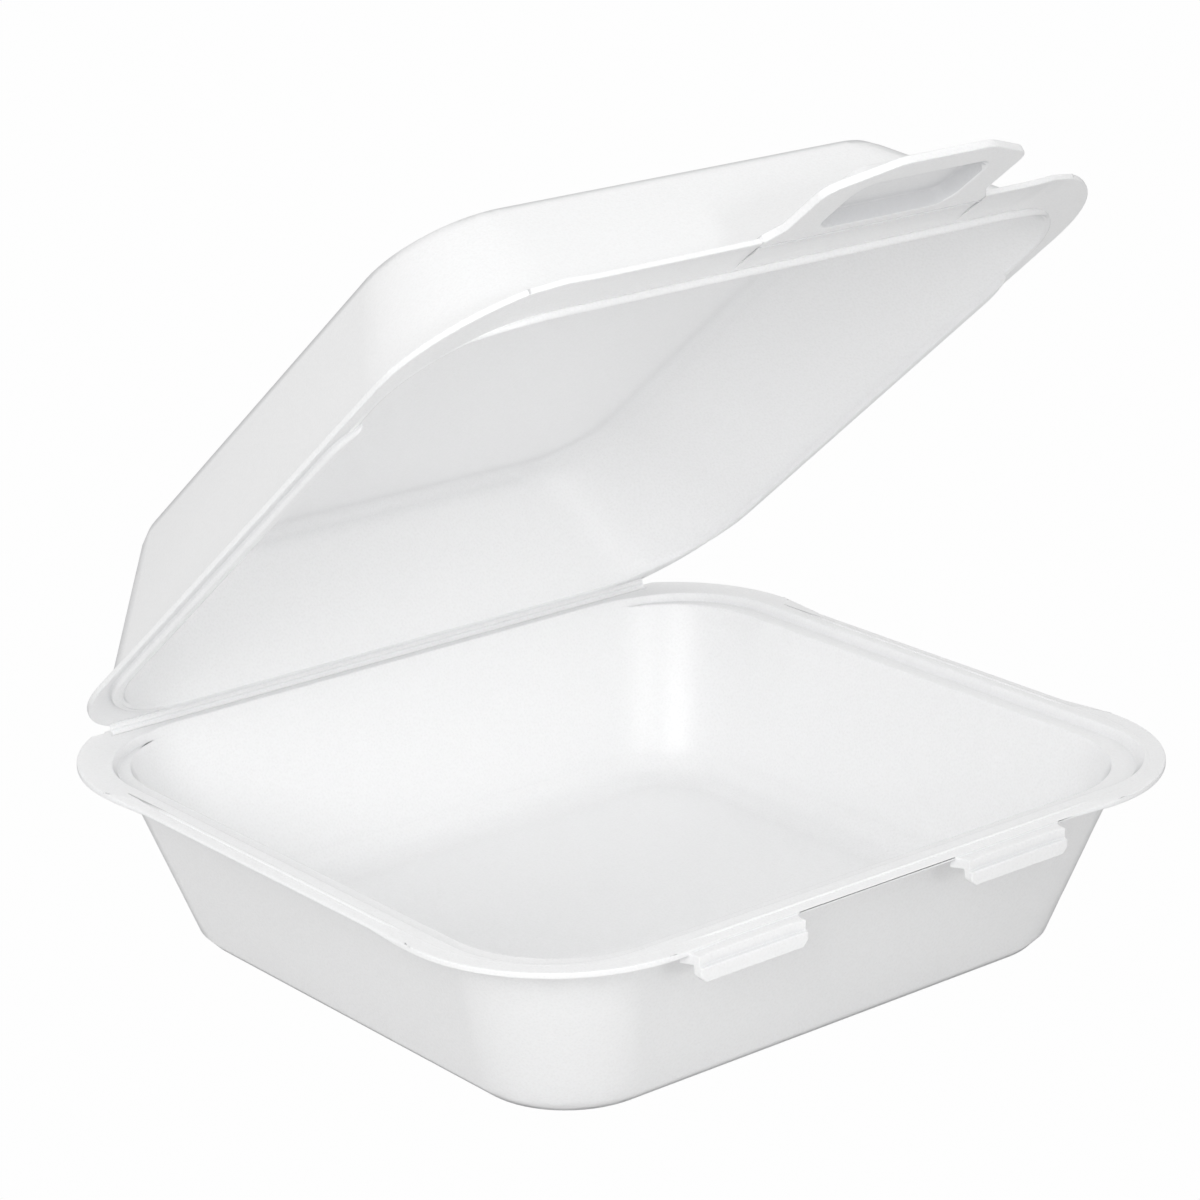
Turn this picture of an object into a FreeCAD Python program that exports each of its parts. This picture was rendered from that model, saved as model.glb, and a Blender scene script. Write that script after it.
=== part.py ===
import FreeCAD, Part
import math
import os
import Sketcher

# Foam clamshell container: one formed sheet, a tray and a lid joined by a pressed fold.
# X runs along the fold, the latches face -Y, the floor stands on Z = 0.

os.makedirs("parts", exist_ok=True)
V = FreeCAD.Vector
doc = FreeCAD.newDocument("clamshell")

# Sizes in millimetres and degrees
sizes = doc.addObject("Spreadsheet::Sheet", "Sizes")
number = {}
sheet_rows = [
    ("foam", 2.4, "thickness of the floor and the dome top"),
    ("rim_width", 230, "tray flange across its straight sides"),
    ("rim_depth", 216, "tray flange outline front to back before the fold trims it"),
    ("rim_height", 51, "crest of the tray rim above the table"),
    ("rim_corner", 43, "corner radius of the flange outline"),
    ("corner_proud", 1, "how far the flat corners stand past the straight sides"),
    ("flange_edge", 1.6, "thickness of the flange"),
    ("floor_width", 177, "outside width of the floor"),
    ("floor_depth", 164, "outside depth of the floor"),
    ("floor_corner", 25, "corner radius of the floor"),
    ("floor_round", 8, "outside round between floor and wall"),
    ("floor_round_inside", 12, "inside round between floor and wall"),
    ("wall_across", 2.5, "wall thickness measured level"),
    ("crease_inset", 12, "outer crease in from the flange outline"),
    ("crease_drop", 7.5, "outer crease below the crest"),
    ("band_inset", 5, "top of the slanted outer band in from the flange outline"),
    ("band_back", 9.6, "outside of the rear wall in from the flange's rear line"),
    ("crest_inset", 6.9, "crest line in from the flange outline"),
    ("ledge_inset", 8.4, "foot of the crest in from the flange outline"),
    ("ledge_drop", 2.3, "ledge below the crest"),
    ("ledge_back", 13.6, "rear end of the ledge in from the flange's rear line"),
    ("ledge_corner", 30, "corner radius of the ledge"),
    ("mouth_inset", 12, "inner wall in from the flange outline at crest height"),
    ("mouth_corner", 30.5, "corner radius of the mouth at crest height"),
    ("strip_drop", 0.6, "fall of the straight flange strips to their outer edge"),
    ("strip_half_side", 48, "half length of the side strips"),
    ("strip_half_front", 58, "half length of the front strip"),
    ("strip_run", 18, "length over which a strip dies out"),
    ("fold_back", 5.4, "fold line in from the flange's rear line"),
    ("fold_gap", 0.3, "pressed gap at the fold line"),
    ("rim_gap", 0.3, "air between the two rims when closed"),
    ("web_half", 92, "half length of the hinge web"),
    ("web_width", 4, "width of one web strip"),
    ("web_thick", 0.9, "thickness of the web"),
    ("web_step", 0.9, "step from the web end to the corner outline"),
    ("groove_half", 0.6, "half width of the groove beside the web"),
    ("groove_deep", 0.45, "depth of the groove beside the web"),
    ("latch_first", -52, "middle of the first latch"),
    ("latch_pitch", 86, "distance between the two latches"),
    ("latch_width", 33, "width of a latch"),
    ("latch_reach", 3.8, "latch front past the flange edge"),
    ("latch_wall", 1.9, "thickness of the latch front"),
    ("latch_shelf", 49.9, "height of the latch shelf"),
    ("latch_groove", 47.2, "height of the step across the latch"),
    ("latch_foot", 43.4, "height of the latch lip's lower edge"),
    ("latch_lip", 0.8, "lip stands past the upper band"),
    ("latch_chamfer", 1.6, "chamfer at the lip's lower corners"),
    ("latch_scoop", 0.6, "hollow of the shelf's front edge"),
    ("lid_width", 216, "lid flange across its sides"),
    ("lid_front", 27, "lid's front edge ahead of the tray flange"),
    ("lid_corner", 40, "corner radius of the lid flange"),
    ("ring_gap", 0.6, "air around the lid's ring inside the ledge"),
    ("ring_wide", 3.2, "width of the ring"),
    ("ring_deep", 1.7, "depth of the ring below the lid flange"),
    ("ring_back", 13.1, "rear outside of the ring in from the flange's rear line"),
    ("ring_corner", 36, "corner radius of the ring"),
    ("ring_round", 0.6, "slanted edge of the ring"),
    ("lid_wall_across", 2.8, "lid wall thickness measured level"),
    ("dome_height", 38.5, "dome top above the lid flange underside"),
    ("dome_width", 158, "outside width of the dome top"),
    ("dome_front", 12, "front of the dome top behind the tray flange's front line"),
    ("dome_mouth_front", 10, "inside of the front wall ahead of the tray flange's front line"),
    ("dome_back", 23.5, "rear of the dome top in from the flange's rear line"),
    ("dome_corner", 27, "corner radius of the dome top"),
    ("dome_round", 7, "outside round between dome top and wall"),
    ("dome_round_inside", 5.5, "inside round between dome top and wall"),
    ("lip_start", 13.5, "line where the lid's front lip starts to fall, ahead of the tray flange"),
    ("lip_fall", 1.2, "fall of the lip to its front edge"),
    ("lip_half", 68, "half length of the full lip"),
    ("lip_fade", 8.5, "step of the lip's two end facets"),
    ("lip_mid", 26, "lip's front edge one facet out, ahead of the tray flange"),
    ("lip_end", 23.2, "lip's front edge two facets out, ahead of the tray flange"),
    ("tab_middle", 15.5, "middle of the tab along the lid"),
    ("tab_slope", 2, "slope of the tab"),
    ("tab_half", 32, "half width of the tab at its shoulders"),
    ("tab_nose", 14, "half width of the tab's straight nose"),
    ("tab_shoulder", 22.5, "shoulders ahead of the lip edge"),
    ("tab_reach", 31, "nose ahead of the lip edge"),
    ("tab_flare", 3.5, "spread of the tab's root on each side"),
    ("tab_neck", 5, "length over which the root spreads"),
    ("tab_thick", 2.1, "thickness of the tab"),
    ("tab_round", 6, "round of the tab's front corners"),
    ("pocket_half", 21.5, "half width of the pocket under the tab"),
    ("pocket_near", 1, "near side of the pocket ahead of the lip edge"),
    ("pocket_far", 23, "far side of the pocket ahead of the lip edge"),
    ("pocket_deep", 3.6, "depth of the pocket"),
    ("pocket_slant", 2.5, "slant of the pocket's walls"),
    ("pocket_corner", 6, "corner radius of the pocket"),
    ("open_angle", 40, "lid opened from the closed position"),
]
for row, (alias, value, meaning) in enumerate(sheet_rows, 1):
    sizes.set("A%d" % row, meaning)
    sizes.set("B%d" % row, str(value))
    sizes.setAlias("B%d" % row, alias)
    number[alias] = value
doc.recompute()


def tied(*terms):
    expression = " + ".join("Sizes.%s * %s" % (alias, factor) for alias, factor in terms)
    return expression, sum(number[alias] * factor for alias, factor in terms)


def less(pair, *terms):
    expression, value = tied(*terms)
    return "%s + %s" % (pair[0], expression), pair[1] + value


def ahead(alias, *terms):
    """A place measured out from the tray flange's front or rear line, as a distance from the middle."""
    return tied(("rim_depth", 0.5), (alias, 1), *terms)


def inward(alias, *terms):
    return tied(("rim_depth", 0.5), (alias, -1), *terms)


def plane(body, role):
    return next(item for item in body.Origin.OriginFeatures if item.Role == role)


def sketch_on(body, name, role, offset):
    made = body.newObject("Sketcher::SketchObject", name)
    made.AttachmentSupport = [(plane(body, role), "")]
    made.MapMode = "FlatFace"
    made.AttachmentOffset = FreeCAD.Placement(V(0, 0, offset[1]), FreeCAD.Rotation())
    made.setExpression("AttachmentOffset.Base.z", offset[0])
    return made


def hold(sketch, kind, geometry, point, pair):
    expression, value = pair
    if abs(value) < 1e-9:
        axis = -2 if kind == "DistanceX" else -1
        sketch.addConstraint(Sketcher.Constraint("PointOnObject", geometry, point, axis))
        return
    if value > 0:
        index = sketch.addConstraint(Sketcher.Constraint(kind, -1, 1, geometry, point, value))
        sketch.setExpression("Constraints[%d]" % index, expression)
    else:
        index = sketch.addConstraint(Sketcher.Constraint(kind, geometry, point, -1, 1, -value))
        sketch.setExpression("Constraints[%d]" % index, "-(%s)" % expression)


def outline(body, name, height, half, front, back, corner):
    """Level rounded rectangle: half width, front and back lines, corner radius."""
    made = sketch_on(body, name, "XY_Plane", height)
    a, f, b, r = half[1], -front[1], back[1], corner[1]
    spots = [(a - r, f + r, -90), (a - r, b - r, 0), (r - a, b - r, 90), (r - a, f + r, 180)]
    lines = [((r - a, f), (a - r, f)), ((a, f + r), (a, b - r)), ((a - r, b), (r - a, b)), ((-a, b - r), (-a, f + r))]
    for (start, end), (x, y, angle) in zip(lines, spots):
        made.addGeometry(Part.LineSegment(V(start[0], start[1], 0), V(end[0], end[1], 0)))
        ring = Part.Circle(V(x, y, 0), V(0, 0, 1), r)
        made.addGeometry(Part.ArcOfCircle(ring, math.radians(angle), math.radians(angle + 90)))
    for item in range(8):
        made.addConstraint(Sketcher.Constraint("Tangent", item, 2, (item + 1) % 8, 1))
    for item in (0, 4):
        made.addConstraint(Sketcher.Constraint("Horizontal", item))
        made.addConstraint(Sketcher.Constraint("Vertical", item + 2))
    for item in (1, 3, 5):
        made.addConstraint(Sketcher.Constraint("Equal", item, item + 2))
    index = made.addConstraint(Sketcher.Constraint("Radius", 1, corner[1]))
    made.setExpression("Constraints[%d]" % index, corner[0])
    hold(made, "DistanceX", 2, 1, half)
    hold(made, "DistanceX", 6, 1, ("-(%s)" % half[0], -half[1]))
    hold(made, "DistanceY", 0, 1, ("-(%s)" % front[0], -front[1]))
    hold(made, "DistanceY", 4, 1, back)
    return made


def polygon(body, name, role, offset, points):
    """Closed line of corners, each held to the axes by its own two sizes."""
    made = sketch_on(body, name, role, offset)
    count = len(points)
    for item in range(count):
        start = points[item]
        end = points[(item + 1) % count]
        made.addGeometry(Part.LineSegment(V(start[0][1], start[1][1], 0), V(end[0][1], end[1][1], 0)))
    for item in range(count):
        made.addConstraint(Sketcher.Constraint("Coincident", item, 2, (item + 1) % count, 1))
        hold(made, "DistanceX", item, 1, points[item][0])
        hold(made, "DistanceY", item, 1, points[item][1])
    return made


def loft(body, kind, name, sections):
    made = body.newObject("PartDesign::" + kind, name)
    made.Profile = sections[0]
    made.Sections = sections[1:]
    made.Ruled = True
    return made


def pad(body, kind, name, profile, length, midplane=False, upward=None):
    made = body.newObject("PartDesign::" + kind, name)
    made.Profile = profile
    made.Length = length[1]
    made.setExpression("Length", length[0])
    if midplane:
        made.Midplane = True
    if upward is not None:
        made.Reversed = upward
    return made


def rounded(body, name, radius, wanted):
    """Fillet of every edge of the finished shape that the test picks out."""
    doc.recompute()
    base = body.Tip
    names = ["Edge%d" % (i + 1) for i, edge in enumerate(base.Shape.Edges) if wanted(edge)]
    made = body.newObject("PartDesign::Fillet", name)
    made.Base = (base, names)
    made.Radius = radius[1]
    made.setExpression("Radius", radius[0])
    doc.recompute()
    return made


def arc_reach(rise, flare):
    """Reach of a round past the wall's foot at a height, both as shares of its radius; flare in degrees."""
    lean = math.radians(flare)
    if rise > 1 - math.sin(lean):
        return rise * math.tan(lean)
    return math.sqrt(rise * (2 - rise)) - math.tan(math.radians(45 - flare / 2))


def rounded_foot(body, name, base, size, radius, flares, sign=1):
    """Outlines stepping up the round between a level face and a flared wall; sign -1 steps down from a top."""
    half, front, back, corner = size
    steps = []
    for item, rise in enumerate((0, 0.13, 0.52), 1):
        side, end, rear = [(radius, arc_reach(rise, flare)) for flare in flares]
        steps.append(outline(body, "%s_%d" % (name, item), less(base, (radius, sign * rise)),
                             less(half, side), less(front, end), less(back, rear), less(corner, rear)))
    return steps


crest = tied(("rim_height", 1))
ground = ("Sizes.rim_height * 0", 0.0)

# Tray, outside: flared walls up to a crisp crease, then a slanted band under the flange
tray = doc.addObject("PartDesign::Body", "tray")
tray.Label = "tray"


def inset(alias, proud=0):
    half = tied(("rim_width", 0.5), (alias, -1), ("corner_proud", proud))
    deep = tied(("rim_depth", 0.5), (alias, -1), ("corner_proud", proud))
    corner = tied(("rim_corner", 1), (alias, -1), ("corner_proud", proud))
    return half, deep, deep, corner


floor_size = tied(("floor_width", 0.5)), tied(("floor_depth", 0.5)), tied(("floor_depth", 0.5)), tied(("floor_corner", 1))
floor_out = rounded_foot(tray, "floor_outside", ground, floor_size, "floor_round", (18.4, 17.8, 17.8))
crease_out = outline(tray, "crease_outside", less(crest, ("crease_drop", -1)), *inset("crease_inset"))
half, deep, back, corner = inset("band_inset")
under_flange = less(crest, ("flange_edge", -1))
band_out = outline(tray, "band_outside", less(crest, ("flange_edge", -0.9)), half, deep, inward("band_back"), corner)
loft(tray, "AdditiveLoft", "walls", floor_out + [crease_out, band_out])

# Tray flange: flat outline with the corners standing a little proud
flange_line = outline(tray, "flange_line", under_flange,
                      tied(("rim_width", 0.5), ("corner_proud", 1)), tied(("rim_depth", 0.5), ("corner_proud", 1)),
                      tied(("rim_depth", 0.5), ("corner_proud", 1)), tied(("rim_corner", 1), ("corner_proud", 1)))
pad(tray, "Pad", "flange", flange_line, tied(("flange_edge", 1)))

# Tray, inside: cavity, and the shallow ledge below the crest that takes the lid's ring
thinner = ("wall_across", -0.68)
inner_size = [less(pair, thinner) for pair in floor_size]
floor_in = rounded_foot(tray, "floor_inside", tied(("foam", 1)), inner_size, "floor_round_inside", (18.4, 17.9, 17.9))
half, deep, back, corner = inset("mouth_inset")
mouth_line = outline(tray, "mouth_line", crest, half, deep, back, tied(("mouth_corner", 1)))
loft(tray, "SubtractiveLoft", "cavity", floor_in + [mouth_line])
ledge_height = less(crest, ("ledge_drop", -1))
half, deep, back, corner = inset("ledge_inset")
ledge_foot = outline(tray, "ledge_foot", ledge_height, half, deep, inward("ledge_back"), tied(("ledge_corner", 1)))
half, deep, back, corner = inset("crest_inset")
ledge_top = outline(tray, "ledge_top", crest, half, deep, inward("ledge_back"), tied(("ledge_corner", 1)))
loft(tray, "SubtractiveLoft", "ledge", [ledge_foot, ledge_top])
doc.recompute()


def flip(pair):
    return "-(%s)" % pair[0], -pair[1]


# Straight flange strips: they fall slightly to their outer edge and die out before each corner
def strip_section(name, role, offset, reach, faded, sign):
    turn = flip if sign < 0 else (lambda pair: pair)
    if faded:
        start, edge, drop = less(reach, ("corner_proud", 1.4)), less(reach, ("corner_proud", 1.5)), -0.1
    else:
        start, edge, drop = less(reach, ("crest_inset", -1), ("corner_proud", 0.9)), reach, -1
    above = less(crest, ("corner_proud", 0.6))
    below = less(crest, ("flange_edge", -2))
    far = turn(less(reach, ("corner_proud", 2.5)))
    return polygon(tray, name, role, offset, [
        (turn(start), crest), (turn(edge), less(crest, ("strip_drop", drop))), (turn(edge), below),
        (far, below), (far, above), (turn(start), above)])


def strip(name, role, length, reach, sign):
    end = less(length, ("strip_run", 1))
    places = [(flip(end), True), (flip(length), False), (length, False), (end, True)]
    return loft(tray, "SubtractiveLoft", name, [
        strip_section("%s_%d" % (name, i), role, offset, reach, faded, sign)
        for i, (offset, faded) in enumerate(places, 1)])


right_strip = strip("right_strip", "XZ_Plane", tied(("strip_half_side", 1)), tied(("rim_width", 0.5)), 1)
doc.recompute()
left_strip = tray.newObject("PartDesign::Mirrored", "left_strip")
left_strip.Originals = [right_strip]
left_strip.MirrorPlane = (plane(tray, "YZ_Plane"), [""])
tray.Tip = left_strip
doc.recompute()
strip("front_strip", "YZ_Plane", tied(("strip_half_front", 1)), tied(("rim_depth", 0.5)), -1)


# Fold: both halves end at the fold line, thinned to a web with a pressed groove beside it
def fold_edge(body, top, side):
    """Trims the body at the fold; side +1 has the web flush with the top, -1 flush with the underside."""
    label = body.Label
    edge = inward("fold_back", ("fold_gap", -0.5))
    stepped = less(edge, ("web_step", -1))
    beyond = less(edge, ("rim_corner", 1))
    wide = tied(("rim_width", 0.5), ("rim_corner", 1))
    web = tied(("web_half", 1))
    height = less(top, ("flange_edge", 1))
    trim = polygon(body, label + "_trim_line", "XY_Plane", height, [
        (flip(wide), stepped), (flip(web), stepped), (flip(web), edge), (web, edge), (web, stepped), (wide, stepped),
        (wide, beyond), (flip(wide), beyond)])
    pad(body, "Pocket", label + "_trim", trim, tied(("flange_edge", 4)))
    root = inward("fold_back", ("web_width", -1))
    face = less(top, ("web_thick", -1)) if side > 0 else less(top, ("flange_edge", -1), ("web_thick", 1))
    thin = polygon(body, label + "_web_area", "XY_Plane", face, [
        (flip(web), root), (web, root), (web, beyond), (flip(web), beyond)])
    pad(body, "Pocket", label + "_web", thin, tied(("flange_edge", 2)), upward=side < 0)
    flat = top if side > 0 else less(top, ("flange_edge", -1))
    deep = less(flat, ("groove_deep", -side))
    groove = polygon(body, label + "_groove_line", "YZ_Plane", ground, [
        (less(root, ("groove_half", -1)), flat), (less(root, ("groove_half", 1)), flat), (root, deep)])
    return pad(body, "Pocket", label + "_groove", groove, tied(("web_half", 2)), midplane=True)


fold_edge(tray, crest, 1)

# Latches: a shelf carrying the rim forward, an upright front and a prouder lip below a step
reach = tied(("rim_depth", 0.5), ("latch_reach", 1))
root = tied(("rim_depth", 0.5), ("corner_proud", -1.6))
left = tied(("latch_first", 1), ("latch_width", -0.5))
right = tied(("latch_first", 1), ("latch_width", 0.5))
step = tied(("latch_groove", 1))
shelf_line = polygon(tray, "latch_shelf_line", "XY_Plane", step, [
    (less(left, ("latch_chamfer", -1)), flip(root)), (left, flip(less(reach, ("latch_wall", -1)))), (left, flip(reach)),
    (less(left, ("latch_wall", 2)), flip(less(reach, ("latch_scoop", -1)))),
    (less(right, ("latch_wall", -2)), flip(less(reach, ("latch_scoop", -1)))),
    (right, flip(reach)), (right, flip(less(reach, ("latch_wall", -1)))), (less(right, ("latch_chamfer", 1)), flip(root))])
shelf = pad(tray, "Pad", "latch_front", shelf_line, tied(("latch_shelf", 1), ("latch_groove", -1)))
behind = less(reach, ("latch_wall", -1))
hollow_line = polygon(tray, "latch_hollow_line", "XY_Plane", less(tied(("latch_shelf", 1)), ("flange_edge", -0.8)), [
    (less(left, ("latch_wall", 1)), flip(tied(("rim_depth", 0.5), ("corner_proud", -0.6)))),
    (less(left, ("latch_wall", 1)), flip(behind)), (less(right, ("latch_wall", -1)), flip(behind)),
    (less(right, ("latch_wall", -1)), flip(tied(("rim_depth", 0.5), ("corner_proud", -0.6))))])
hollow = pad(tray, "Pocket", "latch_hollow", hollow_line, tied(("latch_shelf", 1), ("latch_groove", -1)))
foot = tied(("latch_foot", 1))
corner_height = less(foot, ("latch_chamfer", 1))
lip_line = polygon(tray, "latch_lip_line", "XZ_Plane", less(reach, ("latch_lip", 1)), [
    (left, step), (left, corner_height), (less(left, ("latch_chamfer", 1)), foot),
    (less(right, ("latch_chamfer", -1)), foot), (right, corner_height), (right, step)])
lip = pad(tray, "Pad", "latch_lip", lip_line, tied(("latch_wall", 1), ("latch_lip", 1)), upward=True)
doc.recompute()
latches = tray.newObject("PartDesign::LinearPattern", "latches")
latches.Originals = [shelf, hollow, lip]
latches.Direction = (plane(tray, "X_Axis"), [""])
latches.Length = number["latch_pitch"]
latches.setExpression("Length", "Sizes.latch_pitch")
latches.Occurrences = 2
tray.Tip = latches
doc.recompute()

# Lid, drawn in the closed position and then turned about the fold
lid = doc.addObject("PartDesign::Body", "lid")
lid.Label = "lid"
under = tied(("rim_height", 1), ("rim_gap", 1))
over = less(under, ("flange_edge", 1))
lid_flange_line = outline(lid, "lid_flange_line", under, tied(("lid_width", 0.5)), ahead("lid_front"),
                          tied(("rim_depth", 0.5)), tied(("lid_corner", 1)))
pad(lid, "Pad", "lid_flange", lid_flange_line, tied(("flange_edge", 1)))


def ring_line(name, height, front, *shift):
    return outline(lid, name, height, tied(("rim_width", 0.5), ("ledge_inset", -1), ("ring_gap", -1), *shift), front,
                   inward("ring_back", *shift), tied(("ring_corner", 1), *shift))


# Ring under the lid flange: it drops inside the tray's crest and dies out at the front corners
ring_foot = less(under, ("ring_deep", -1))
ring_front = tied(("rim_depth", 0.5), ("ledge_inset", -1), ("ring_gap", -1))
ring_low = ring_line("ring_low", ring_foot, less(ring_front, ("ring_round", -1)), ("ring_round", -1))
ring_high = ring_line("ring_high", less(ring_foot, ("ring_round", 1.2)), ring_front)
ring_root = ring_line("ring_root", less(under, ("flange_edge", 0.5)), ring_front)
loft(lid, "AdditiveLoft", "ring", [ring_low, ring_high, ring_root])

# Dome: flared walls to a flat top
top = less(under, ("dome_height", 1))
mouth_front = ahead("dome_mouth_front")
dome_foot = ring_line("dome_foot", less(under, ("flange_edge", 0.9)), less(mouth_front, ("lid_wall_across", 1)),
                      ("ring_gap", -0.8))
dome_size = tied(("dome_width", 0.5)), inward("dome_front"), inward("dome_back"), tied(("dome_corner", 1))
dome_top = rounded_foot(lid, "dome_top", top, dome_size, "dome_round", (35, 33, 15), -1)
loft(lid, "AdditiveLoft", "dome", [dome_foot] + dome_top[::-1])
thin = ("lid_wall_across", -0.8)
inner_foot = ring_line("dome_inside_foot", less(ring_foot, ("ring_deep", -0.3)), mouth_front, ("ring_wide", -1))
inner_rim = ring_line("dome_inside_rim", under, mouth_front, ("ring_wide", -1))
inner_size = [less(pair, thin) for pair in dome_size]
inner_top = rounded_foot(lid, "dome_inside_top", less(top, ("foam", -0.92)), inner_size, "dome_round_inside", (35, 33, 15), -1)
loft(lid, "SubtractiveLoft", "dome_inside", [inner_foot, inner_rim] + inner_top[::-1])

# Front lip: between the corners the lid flange falls to its front edge
cut_half = tied(("lip_half", 1), ("lip_fade", 2))
lip_cut = polygon(lid, "lip_cut_line", "XY_Plane", less(over, ("flange_edge", 0.5)), [
    (flip(cut_half), flip(ahead("lip_start"))), (cut_half, flip(ahead("lip_start"))),
    (cut_half, flip(ahead("lid_front", ("lid_corner", 0.1)))),
    (flip(cut_half), flip(ahead("lid_front", ("lid_corner", 0.1))))])
pad(lid, "Pocket", "lip_cut", lip_cut, tied(("flange_edge", 2)))


def lip_section(name, offset, front, share):
    start = flip(ahead("lip_start"))
    front = flip(front)
    return polygon(lid, name, "YZ_Plane", offset, [
        (start, under), (front, less(under, ("lip_fall", -share))), (front, less(over, ("lip_fall", -share))),
        (start, over)])


stations = [(2, ahead("lip_end"), 0), (1, ahead("lip_mid"), 0.4), (0, ahead("lid_front"), 1)]
lip_sections = []
for side, order in ((-1, stations), (1, stations[::-1])):
    for fade, front, share in order:
        place = tied(("lip_half", side), ("lip_fade", side * fade))
        lip_sections.append(lip_section("lip_section_%d" % (len(lip_sections) + 1), place, front, share))
loft(lid, "AdditiveLoft", "lip", lip_sections)


# Tab: carries the lip forward and slightly down, with a pocket pressed up into it
def on_tab(made, rise):
    """Moves a sketch to the sloped plane of the tab's underside, raised by the given height along its normal."""
    slope = math.radians(number["tab_slope"])
    height = less(under, ("lip_fall", -1))
    edge = flip(ahead("lid_front"))
    made.AttachmentOffset = FreeCAD.Placement(
        V(number["tab_middle"], edge[1] - rise[1] * math.sin(slope), height[1] + rise[1] * math.cos(slope)),
        FreeCAD.Rotation(V(1, 0, 0), number["tab_slope"]))
    made.setExpression("AttachmentOffset.Base.x", "Sizes.tab_middle")
    made.setExpression("AttachmentOffset.Base.y", "%s - (%s) * sin(Sizes.tab_slope)" % (edge[0], rise[0]))
    made.setExpression("AttachmentOffset.Base.z", "%s + (%s) * cos(Sizes.tab_slope)" % (height[0], rise[0]))
    made.setExpression("AttachmentOffset.Rotation.Angle", "Sizes.tab_slope")
    return made


rootline = tied(("tab_thick", 1))
spread = tied(("tab_half", 1), ("tab_flare", 1))
tab_line = on_tab(polygon(lid, "tab_line", "XY_Plane", ground, [
    (flip(spread), rootline), (flip(spread), flip(tied(("tab_thick", 0.1)))),
    (flip(tied(("tab_half", 1))), flip(tied(("tab_neck", 1)))),
    (flip(tied(("tab_half", 1))), flip(tied(("tab_shoulder", 1)))),
    (flip(tied(("tab_nose", 1))), flip(tied(("tab_reach", 1)))),
    (tied(("tab_nose", 1)), flip(tied(("tab_reach", 1)))),
    (tied(("tab_half", 1)), flip(tied(("tab_shoulder", 1)))), (tied(("tab_half", 1)), flip(tied(("tab_neck", 1)))),
    (spread, flip(tied(("tab_thick", 0.1)))), (spread, rootline)]), ground)
pad(lid, "Pad", "tab", tab_line, tied(("tab_thick", 1)))


def tab_corner(share_x, share_y):
    """Picks the tab's upright edge at a corner given in the tab's own plane."""
    def wanted(edge):
        middle = edge.BoundBox.Center
        return (len(edge.Vertexes) == 2 and abs(edge.Length - number["tab_thick"]) < 0.05
                and abs(abs(middle.x - number["tab_middle"]) - share_x) < 0.6
                and abs(-middle.y - ahead("lid_front")[1] - share_y) < 1.2)
    return wanted


rounded(lid, "tab_shoulders", tied(("tab_round", 1)), tab_corner(number["tab_half"], number["tab_shoulder"]))
rounded(lid, "tab_nose_corners", tied(("tab_round", 2)), tab_corner(number["tab_nose"], number["tab_reach"]))


def pocket_line(name, rise, grow):
    return on_tab(outline(lid, name, rise, tied(("pocket_half", 1), *grow), tied(("pocket_far", 1), *grow),
                          flip(tied(("pocket_near", 1), *[(alias, -share) for alias, share in grow])),
                          tied(("pocket_corner", 1), *grow)), rise)


boss_low = pocket_line("boss_low", tied(("tab_thick", 0.5)), [("foam", 0.9)])
boss_high = pocket_line("boss_high", tied(("pocket_deep", 1), ("foam", 0.75)), [("foam", 0.4), ("pocket_slant", -1)])
loft(lid, "AdditiveLoft", "tab_boss", [boss_low, boss_high])
pocket_low = pocket_line("pocket_low", flip(tied(("foam", 0.1))), [("foam", 0.02)])
pocket_high = pocket_line("pocket_high", tied(("pocket_deep", 1)), [("pocket_slant", -1)])
loft(lid, "SubtractiveLoft", "tab_pocket", [pocket_low, pocket_high])
doc.recompute()

fold_edge(lid, over, -1)
doc.recompute()

# Lid turned about the fold line to where it stands
angle = math.radians(number["open_angle"])
fold_place, fold_y = inward("fold_back")
fold_z = number["rim_height"] + number["rim_gap"] / 2
lid.Placement = FreeCAD.Placement(
    V(0, fold_y - fold_y * math.cos(angle) - fold_z * math.sin(angle),
      fold_z + fold_y * math.sin(angle) - fold_z * math.cos(angle)),
    FreeCAD.Rotation(V(-1, 0, 0), number["open_angle"]))
height = "(Sizes.rim_height + Sizes.rim_gap / 2)"
lid.setExpression("Placement.Rotation.Angle", "Sizes.open_angle")
lid.setExpression("Placement.Base.y", "(%s) * (1 - cos(Sizes.open_angle)) - %s * sin(Sizes.open_angle)" % (fold_place, height))
lid.setExpression("Placement.Base.z", "%s * (1 - cos(Sizes.open_angle)) + (%s) * sin(Sizes.open_angle)" % (height, fold_place))
doc.recompute()

# Every feature must have come out sound before the parts are written
for made in doc.Objects:
    if "Invalid" in made.State or "Error" in made.State:
        raise RuntimeError("feature failed: %s %s" % (made.Name, made.State))
for body in (tray, lid):
    if body.Shape.isNull() or not body.Shape.isValid() or len(body.Shape.Solids) != 1:
        raise RuntimeError("body is not one sound solid: " + body.Label)
    print(body.Label, round(body.Shape.Volume / 1000.0, 2), body.Shape.BoundBox)
    body.Shape.exportStep("parts/%s.step" % body.Label)
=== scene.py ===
import math

import bmesh
import bpy
from mathutils import Matrix, Vector


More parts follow.
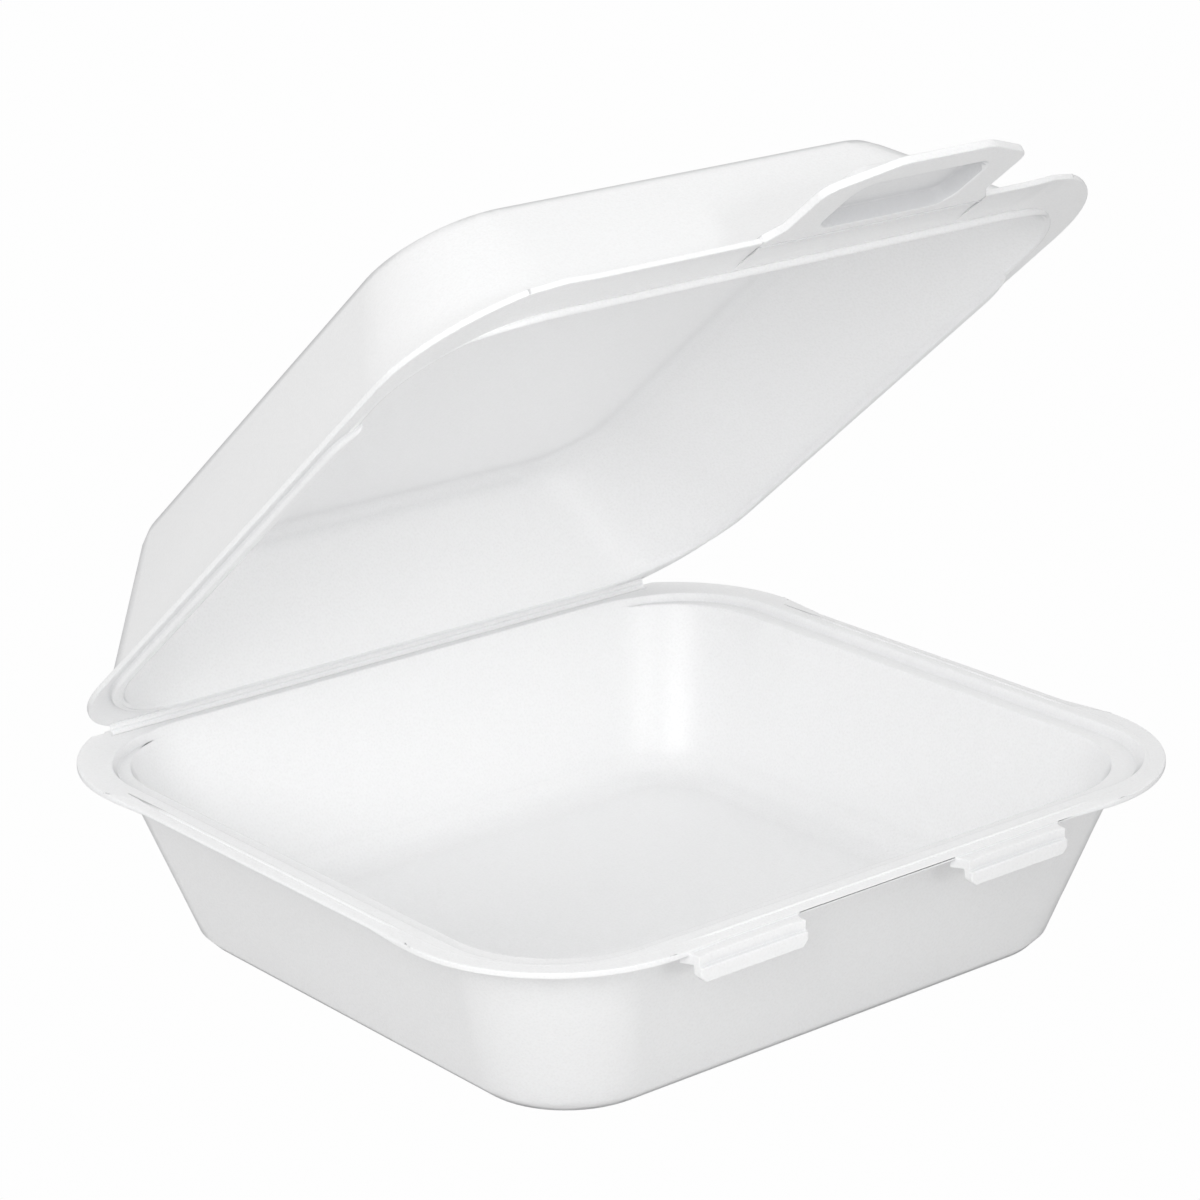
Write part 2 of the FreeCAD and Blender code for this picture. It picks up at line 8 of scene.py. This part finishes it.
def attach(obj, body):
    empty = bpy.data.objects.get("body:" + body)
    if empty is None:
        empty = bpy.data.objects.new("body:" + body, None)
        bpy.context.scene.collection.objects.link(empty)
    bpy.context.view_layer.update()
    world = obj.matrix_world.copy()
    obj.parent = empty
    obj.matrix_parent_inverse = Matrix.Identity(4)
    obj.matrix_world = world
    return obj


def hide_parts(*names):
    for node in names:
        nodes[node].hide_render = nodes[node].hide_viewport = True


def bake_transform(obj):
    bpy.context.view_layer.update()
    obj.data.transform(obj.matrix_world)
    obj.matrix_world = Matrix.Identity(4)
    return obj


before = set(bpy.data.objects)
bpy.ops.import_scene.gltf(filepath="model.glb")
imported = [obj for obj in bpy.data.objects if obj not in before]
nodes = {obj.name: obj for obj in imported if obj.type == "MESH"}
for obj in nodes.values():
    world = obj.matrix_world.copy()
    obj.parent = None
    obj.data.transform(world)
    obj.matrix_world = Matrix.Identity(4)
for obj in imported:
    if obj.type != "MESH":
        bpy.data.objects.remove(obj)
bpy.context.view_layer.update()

# Tray: the lower half of one sheet of white polystyrene foam, formed between warm moulds.
# The moulds leave a smooth skin with a soft sheen over a fine closed-cell grain,
# and every edge a little rounded.


def foam_grain_group():
    """Grain of the pressed foam: small cells for its height, and broad faint clouds for its sheen."""
    group = bpy.data.node_groups.new("Foam grain", "ShaderNodeTree")
    group.interface.new_socket("Cell size", in_out="INPUT", socket_type="NodeSocketFloat")
    group.interface.new_socket("Vector", in_out="INPUT", socket_type="NodeSocketVector")
    group.interface.new_socket("Height", in_out="OUTPUT", socket_type="NodeSocketFloat")
    group.interface.new_socket("Mottle", in_out="OUTPUT", socket_type="NodeSocketFloat")
    given = group.nodes.new("NodeGroupInput")
    out = group.nodes.new("NodeGroupOutput")
    cells = group.nodes.new("ShaderNodeTexVoronoi")
    fibre = group.nodes.new("ShaderNodeTexNoise")
    fibre.inputs["Detail"].default_value = 2
    cloud = group.nodes.new("ShaderNodeTexNoise")
    cloud.inputs["Scale"].default_value = 45
    cloud.inputs["Detail"].default_value = 3
    both = group.nodes.new("ShaderNodeMath")
    both.operation = "ADD"
    links = group.links
    for texture in (cells, fibre, cloud):
        links.new(given.outputs["Vector"], texture.inputs["Vector"])
    for texture in (cells, fibre):
        links.new(given.outputs["Cell size"], texture.inputs["Scale"])
    links.new(cells.outputs["Distance"], both.inputs[0])
    links.new(fibre.outputs["Fac"], both.inputs[1])
    links.new(both.outputs["Value"], out.inputs["Height"])
    links.new(cloud.outputs["Fac"], out.inputs["Mottle"])
    return group


grain_group = foam_grain_group()


def foam(name, nook_shade_reach=0.004, nook_shade_least=0.3, painted_glow=0.03):
    """White foam skin, with painted shade in tight nooks and where it turns away from the eye, and a faint
    painted glow.
    """
    material = bpy.data.materials.new(name)
    material.use_nodes = True
    tree = material.node_tree

    def two_colours():
        mix = tree.nodes.new("ShaderNodeMix")
        mix.data_type = "RGBA"
        return mix

    def ramp(from_low=0, from_high=1, to_low=0, to_high=1):
        spread = tree.nodes.new("ShaderNodeMapRange")
        spread.inputs["From Min"].default_value = from_low
        spread.inputs["From Max"].default_value = from_high
        spread.inputs["To Min"].default_value = to_low
        spread.inputs["To Max"].default_value = to_high
        return spread

    shader = tree.nodes["Principled BSDF"]
    shader.inputs["Specular IOR Level"].default_value = 0.65
    # Painted glow: the foam gives off a faint even light of its own.
    shader.inputs["Emission Color"].default_value = (1, 1, 1, 1)
    shader.inputs["Emission Strength"].default_value = painted_glow
    place = tree.nodes.new("ShaderNodeTexCoord")
    grain = tree.nodes.new("ShaderNodeGroup")
    grain.node_tree = grain_group
    grain.inputs["Cell size"].default_value = 1400
    speck = ramp(from_low=0.5, from_high=1.2)
    tint = two_colours()
    tint.inputs["A"].default_value = (0.905, 0.906, 0.909, 1)
    tint.inputs["B"].default_value = (0.946, 0.947, 0.95, 1)
    # Painted shade: ambient occlusion darkens the colour toward grey in tight nooks.
    nook = tree.nodes.new("ShaderNodeAmbientOcclusion")
    nook.samples = 5
    nook.only_local = True
    nook.inputs["Distance"].default_value = nook_shade_reach
    nook_shade_amount = ramp(from_low=nook_shade_least, from_high=0.97)
    shade = two_colours()
    shade.inputs["A"].default_value = (0.655, 0.66, 0.675, 1)
    # Painted shade: the colour darkens where the surface is seen at a grazing angle, so it follows the view.
    facing = tree.nodes.new("ShaderNodeLayerWeight")
    facing.inputs["Blend"].default_value = 0.5
    grazing_shade_amount = ramp(from_low=0.75, from_high=0.98, to_high=0.8)
    grazing_shade_mix = two_colours()
    grazing_shade_mix.inputs["B"].default_value = (0.49, 0.495, 0.505, 1)
    gloss = ramp(to_low=0.29, to_high=0.36)
    bump = tree.nodes.new("ShaderNodeBump")
    bump.inputs["Strength"].default_value = 0.2
    bump.inputs["Distance"].default_value = 0.0003
    links = tree.links
    links.new(place.outputs["Object"], grain.inputs["Vector"])
    links.new(grain.outputs["Height"], speck.inputs["Value"])
    links.new(speck.outputs["Result"], tint.inputs["Factor"])
    links.new(nook.outputs["AO"], nook_shade_amount.inputs["Value"])
    links.new(nook_shade_amount.outputs["Result"], shade.inputs["Factor"])
    links.new(tint.outputs["Result"], shade.inputs["B"])
    links.new(facing.outputs["Facing"], grazing_shade_amount.inputs["Value"])
    links.new(grazing_shade_amount.outputs["Result"], grazing_shade_mix.inputs["Factor"])
    links.new(shade.outputs["Result"], grazing_shade_mix.inputs["A"])
    links.new(grazing_shade_mix.outputs["Result"], shader.inputs["Base Color"])
    links.new(grain.outputs["Mottle"], gloss.inputs["Value"])
    links.new(gloss.outputs["Result"], shader.inputs["Roughness"])
    links.new(grain.outputs["Height"], bump.inputs["Height"])
    links.new(bump.outputs["Normal"], shader.inputs["Normal"])
    return material


def skin(node, name, material):
    """The formed sheet with its pressed edges rounded over, standing for the plain solid."""
    weld, edge_round = 0.000002, 0.00035
    flat_angle, edge_angle, shading_angle = math.radians(0.6), math.radians(38), math.radians(42)
    sheet = bmesh.new()
    sheet.from_mesh(nodes[node].data)
    bmesh.ops.remove_doubles(sheet, verts=sheet.verts, dist=weld)
    bmesh.ops.dissolve_limit(sheet, angle_limit=flat_angle, verts=sheet.verts, edges=sheet.edges)
    pressed = [edge for edge in sheet.edges
               if len(edge.link_faces) == 2 and edge.calc_face_angle(0) > edge_angle]
    bmesh.ops.bevel(sheet, geom=pressed, offset=edge_round, offset_type="OFFSET", segments=2, profile=0.5,
                    affect="EDGES", clamp_overlap=False, material=-1)
    for face in sheet.faces:
        face.smooth = True
    made = bpy.data.objects.new(name, bpy.data.meshes.new(name))
    sheet.to_mesh(made.data)
    sheet.free()
    made.data.materials.append(material)
    bpy.context.collection.objects.link(made)
    made.data.set_sharp_from_angle(angle=shading_angle)
    even = made.modifiers.new("even shading", "WEIGHTED_NORMAL")
    even.keep_sharp = True
    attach(made, node)
    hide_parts(node)
    return made


foam_tray = foam("foam tray")
skin("tray", "tray_skin", foam_tray)

# Lid: the upper half of the same sheet, a flared foam dome with a flat land round its mouth.
# It stands 40 degrees open on the fold, and its tab reaches out over the front edge.
lid_opened, lid_fold = math.radians(40), Vector((0, 0.1026, 0.05115))
# The lid's foam spreads its painted nook shade further.
foam_lid = foam("foam lid", nook_shade_reach=0.009)
lid_skin = skin("lid", "lid_skin", foam_lid)

# Tab pocket: a hollow for a fingertip, pressed up into the tab's foam by the same mould.
# Its inside gets a foam with stronger painted shade, so it is darker than the foam around it.
pocket_middle = Vector((0.0155, -0.147, 0.0496))
pocket_half_width, pocket_half_length, pocket_mouth, pocket_end = 0.0225, 0.0125, 0.0006, 0.0045
pocket_shaded_foam = foam("foam pocket painted shade", nook_shade_reach=0.03, nook_shade_least=0.85)
lid_skin.data.materials.append(pocket_shaded_foam)
closing = Matrix.Rotation(lid_opened, 3, "X")
for face in lid_skin.data.polygons:
    place = closing @ (face.center - lid_fold) + lid_fold - pocket_middle
    across = abs(place.x) < pocket_half_width and abs(place.y) < pocket_half_length
    if across and pocket_mouth < place.z < pocket_end and place.dot(closing @ face.normal) < 0:
        face.material_index = 1

# Rim line: a fine raised line pressed in the tray's foam flange, along its straight sides.
# It sinks into the flat corners, and leaves the side of the fold free.


def bead(name, start, heading, run, width, height, material, body):
    """Pressed bead: an oval swept along a run, whose stretches are a length ahead and a turn's radius."""
    weld, longest_piece, turn_steps, quarter = 0.00001, 0.02, 16, math.radians(90)
    made = bpy.data.objects.new(name, bpy.data.meshes.new(name))
    bpy.context.collection.objects.link(made)
    tube = bmesh.new()
    bmesh.ops.create_circle(tube, segments=12, radius=0.5)
    bmesh.ops.scale(tube, vec=(width, height, 1), verts=tube.verts)
    bmesh.ops.rotate(tube, matrix=Matrix.Rotation(quarter, 3, "X"), verts=tube.verts)
    bmesh.ops.rotate(tube, matrix=Matrix.Rotation(heading, 3, "Z"), verts=tube.verts)
    bmesh.ops.translate(tube, vec=start, verts=tube.verts)
    at = Vector(start)
    last = tube.edges[:]
    for length, radius in run:
        ahead = Vector((-math.sin(heading), math.cos(heading), 0))
        aside = Vector((-math.cos(heading), -math.sin(heading), 0))
        if length:
            pieces = max(1, int(length / longest_piece))
            for _ in range(pieces):
                grown = bmesh.ops.extrude_edge_only(tube, edges=last)["geom"]
                moved = [item for item in grown if isinstance(item, bmesh.types.BMVert)]
                last = [item for item in grown if isinstance(item, bmesh.types.BMEdge)
                        and all(corner in moved for corner in item.verts)]
                bmesh.ops.translate(tube, vec=ahead * length / pieces, verts=moved)
            at += ahead * length
        if radius:
            turned = bmesh.ops.spin(tube, geom=last, cent=at + aside * radius, axis=(0, 0, 1), angle=quarter,
                                    steps=turn_steps)["geom_last"]
            last = [item for item in turned if isinstance(item, bmesh.types.BMEdge)]
            at += aside * radius + ahead * radius
            heading += quarter
    bmesh.ops.remove_doubles(tube, verts=tube.verts, dist=weld)
    bmesh.ops.holes_fill(tube, edges=[edge for edge in tube.edges if edge.is_boundary], sides=0)
    bmesh.ops.recalc_face_normals(tube, faces=tube.faces)
    for face in tube.faces:
        face.smooth = True
    tube.to_mesh(made.data)
    tube.free()
    made.data.materials.append(material)
    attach(made, body)
    return made


line_side, line_front, line_rear, line_turn = 0.1116, 0.1046, 0.060, 0.0396
line_level, line_width, line_height = 0.0506, 0.0012, 0.0009
line_along = line_rear + line_front - line_turn
line_run = [(line_along, line_turn), (2 * (line_side - line_turn), line_turn), (line_along, 0)]
bead("rim_line", (-line_side, line_rear, line_level), math.radians(180), line_run, line_width, line_height,
     foam_tray, "tray")

# Mouth bead: a round bead pressed in the lid's foam, all round the mouth and outside the nesting ring.
# It sinks into the land round the front corners, where the closed lid lies on the tray's flange.
mouth_side, mouth_front, mouth_rear, mouth_turn = 0.1037, 0.1189, 0.0926, 0.0337
mouth_level, mouth_width, mouth_height = 0.0505, 0.0018, 0.0021
mouth_across = 2 * (mouth_side - mouth_turn)
mouth_run = [(mouth_rear - mouth_turn, mouth_turn), (mouth_across, mouth_turn),
             (mouth_front + mouth_rear - 2 * mouth_turn, mouth_turn), (mouth_across, mouth_turn),
             (mouth_front - mouth_turn, 0)]
mouth_bead = bead("mouth_bead", (mouth_side, 0, mouth_level), 0.0, mouth_run, mouth_width, mouth_height,
                  foam_lid, "lid")
sunk, sinks_past_side = 0.0017, 0.075
sinks_front, sinks_front_over, sinks_rear, sinks_rear_over = -0.1185, 0.0075, -0.0235, 0.061
formed = bmesh.new()
formed.from_mesh(mouth_bead.data)
for corner in formed.verts:
    if abs(corner.co.x) > sinks_past_side:
        from_front = min(1, max(0, (corner.co.y - sinks_front) / sinks_front_over))
        from_rear = min(1, max(0, (sinks_rear - corner.co.y) / sinks_rear_over))
        corner.co.z += sunk * from_front * from_rear
bmesh.ops.rotate(formed, cent=lid_fold, matrix=Matrix.Rotation(-lid_opened, 3, "X"), verts=formed.verts)
formed.to_mesh(mouth_bead.data)
formed.free()

# Fold: the foam between the two halves is pressed to a thin web, creased along its middle.
# It follows the tray below and the lid above, and its foam gives off a faint painted glow.
web_half, web_lip, web_thick = 0.0915, 0.0001, 0.0003
web_foot = Vector((0, 0.0988, 0.0510))
web_creases = ((0.0006, 0.0004), (0.0005, 0.0005), (-0.0002, 0.0006), (0.00035, 0.0006), (-0.0001, 0.0005))
web = bpy.data.objects.new("fold_web", bpy.data.meshes.new("fold_web"))
bpy.context.collection.objects.link(web)
strip = bmesh.new()
bmesh.ops.create_grid(strip, x_segments=40, y_segments=1, size=1)
bmesh.ops.scale(strip, vec=(web_half, web_lip, 1), verts=strip.verts)
bmesh.ops.translate(strip, vec=web_foot, verts=strip.verts)
last = [edge for edge in strip.edges if all(corner.co.y > web_foot.y for corner in edge.verts)]
for step_back, step_up in web_creases:
    grown = bmesh.ops.extrude_edge_only(strip, edges=last)["geom"]
    moved = [item for item in grown if isinstance(item, bmesh.types.BMVert)]
    last = [item for item in grown if isinstance(item, bmesh.types.BMEdge)
            and all(corner in moved for corner in item.verts)]
    bmesh.ops.translate(strip, vec=(0, step_back, step_up), verts=moved)
bmesh.ops.recalc_face_normals(strip, faces=strip.faces)
bmesh.ops.solidify(strip, geom=strip.faces[:], thickness=web_thick)
bmesh.ops.recalc_face_normals(strip, faces=strip.faces)
strip.to_mesh(web.data)
strip.free()
# The fold's foam has a stronger painted glow, so the web's crease is not dark.
fold_glowing_foam = foam("foam fold painted glow", painted_glow=0.09)
web.data.materials.append(fold_glowing_foam)
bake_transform(web)

# Floor: a plain pale table of matt board, seamless into the surround.
# The eye sees it an even white, and it throws back the light that falls on it.


def white_to_the_eye(tree, lit, seen, output):
    """Shows the camera an even white, while every other ray meets the lit shader."""
    seen.inputs["Color"].default_value = (0.99, 0.99, 0.99, 1)
    ray = tree.nodes.new("ShaderNodeLightPath")
    mix = tree.nodes.new("ShaderNodeMixShader")
    tree.links.new(ray.outputs["Is Camera Ray"], mix.inputs["Fac"])
    tree.links.new(lit.outputs[0], mix.inputs[1])
    tree.links.new(seen.outputs[0], mix.inputs[2])
    tree.links.new(mix.outputs["Shader"], output.inputs["Surface"])


floor = bpy.data.objects.new("floor", bpy.data.meshes.new("floor"))
bpy.context.collection.objects.link(floor)
board = bmesh.new()
bmesh.ops.create_grid(board, x_segments=1, y_segments=1, size=3)
board.to_mesh(floor.data)
board.free()
floor_white = bpy.data.materials.new("floor white")
floor_white.use_nodes = True
floor_tree = floor_white.node_tree
floor_shader = floor_tree.nodes["Principled BSDF"]
floor_shader.inputs["Base Color"].default_value = (0.71, 0.71, 0.71, 1)
floor_shader.inputs["Roughness"].default_value = 0.9
floor_seen = floor_tree.nodes.new("ShaderNodeEmission")
white_to_the_eye(floor_tree, floor_shader, floor_seen, floor_tree.nodes["Material Output"])
floor.data.materials.append(floor_white)

# Light: a white surround that is a little brighter overhead, one large soft lamp above the camera
# on its left, and a narrow soft lamp on its right that reaches in under the lid.
world = bpy.data.worlds.new("studio")
world.use_nodes = True
world_tree = world.node_tree
surround = world_tree.nodes["Background"]
surround.inputs["Color"].default_value = (1, 1, 1, 1)
sky = world_tree.nodes.new("ShaderNodeTexCoord")
split = world_tree.nodes.new("ShaderNodeSeparateXYZ")
overhead = world_tree.nodes.new("ShaderNodeMapRange")
overhead.inputs["To Min"].default_value = 0.64
overhead.inputs["To Max"].default_value = 0.82
world_tree.links.new(sky.outputs["Generated"], split.inputs["Vector"])
world_tree.links.new(split.outputs["Z"], overhead.inputs["Value"])
world_tree.links.new(overhead.outputs["Result"], surround.inputs["Strength"])
world_seen = world_tree.nodes.new("ShaderNodeBackground")
white_to_the_eye(world_tree, surround, world_seen, world_tree.nodes["World Output"])
bpy.context.scene.world = world


def hang(lamp, place, aim):
    """Hangs a lamp at a place, turned to its aim."""
    holder = bpy.data.objects.new(lamp.name, lamp)
    holder.location = place
    holder.rotation_euler = (Vector(aim) - Vector(place)).to_track_quat("-Z", "Y").to_euler()
    bpy.context.collection.objects.link(holder)


key = bpy.data.lights.new("key", "AREA")
key.size = 0.6
key.energy = 6.3
hang(key, (-1.13, -0.80, 0.75), (0, 0, 0.08))

fill = bpy.data.lights.new("fill", "SPOT")
fill.energy = 38
fill.spot_size = math.radians(10)
fill.spot_blend = 1.0
fill.shadow_soft_size = 0.15
hang(fill, (-0.30, -1.20, 0.50), (-0.02, 0.105, 0.090))

# Camera at the photo's angle: a long lens a little above the rim,
# turned to the container's front left corner and tilted by a degree.
turn, rise, roll = math.radians(-38.99), math.radians(18.57), math.radians(-1.01)
away, aim = 1.1478, Vector((0.086, 0.1127, 0.045))
back = Vector((math.sin(turn) * math.cos(rise), -math.cos(turn) * math.cos(rise), math.sin(rise)))
level_right = Vector((math.cos(turn), math.sin(turn), 0))
right = level_right * math.cos(roll) + back.cross(level_right) * math.sin(roll)
up = back.cross(right)
lens = bpy.data.cameras.new("camera")
lens.sensor_width = 36
lens.lens = 117
camera = bpy.data.objects.new("camera", lens)
camera.matrix_world = Matrix.Translation(aim + back * away) @ Matrix((right, up, back)).transposed().to_4x4()
bpy.context.collection.objects.link(camera)
bpy.context.scene.camera = camera
bpy.context.scene.view_settings.view_transform = "Standard"
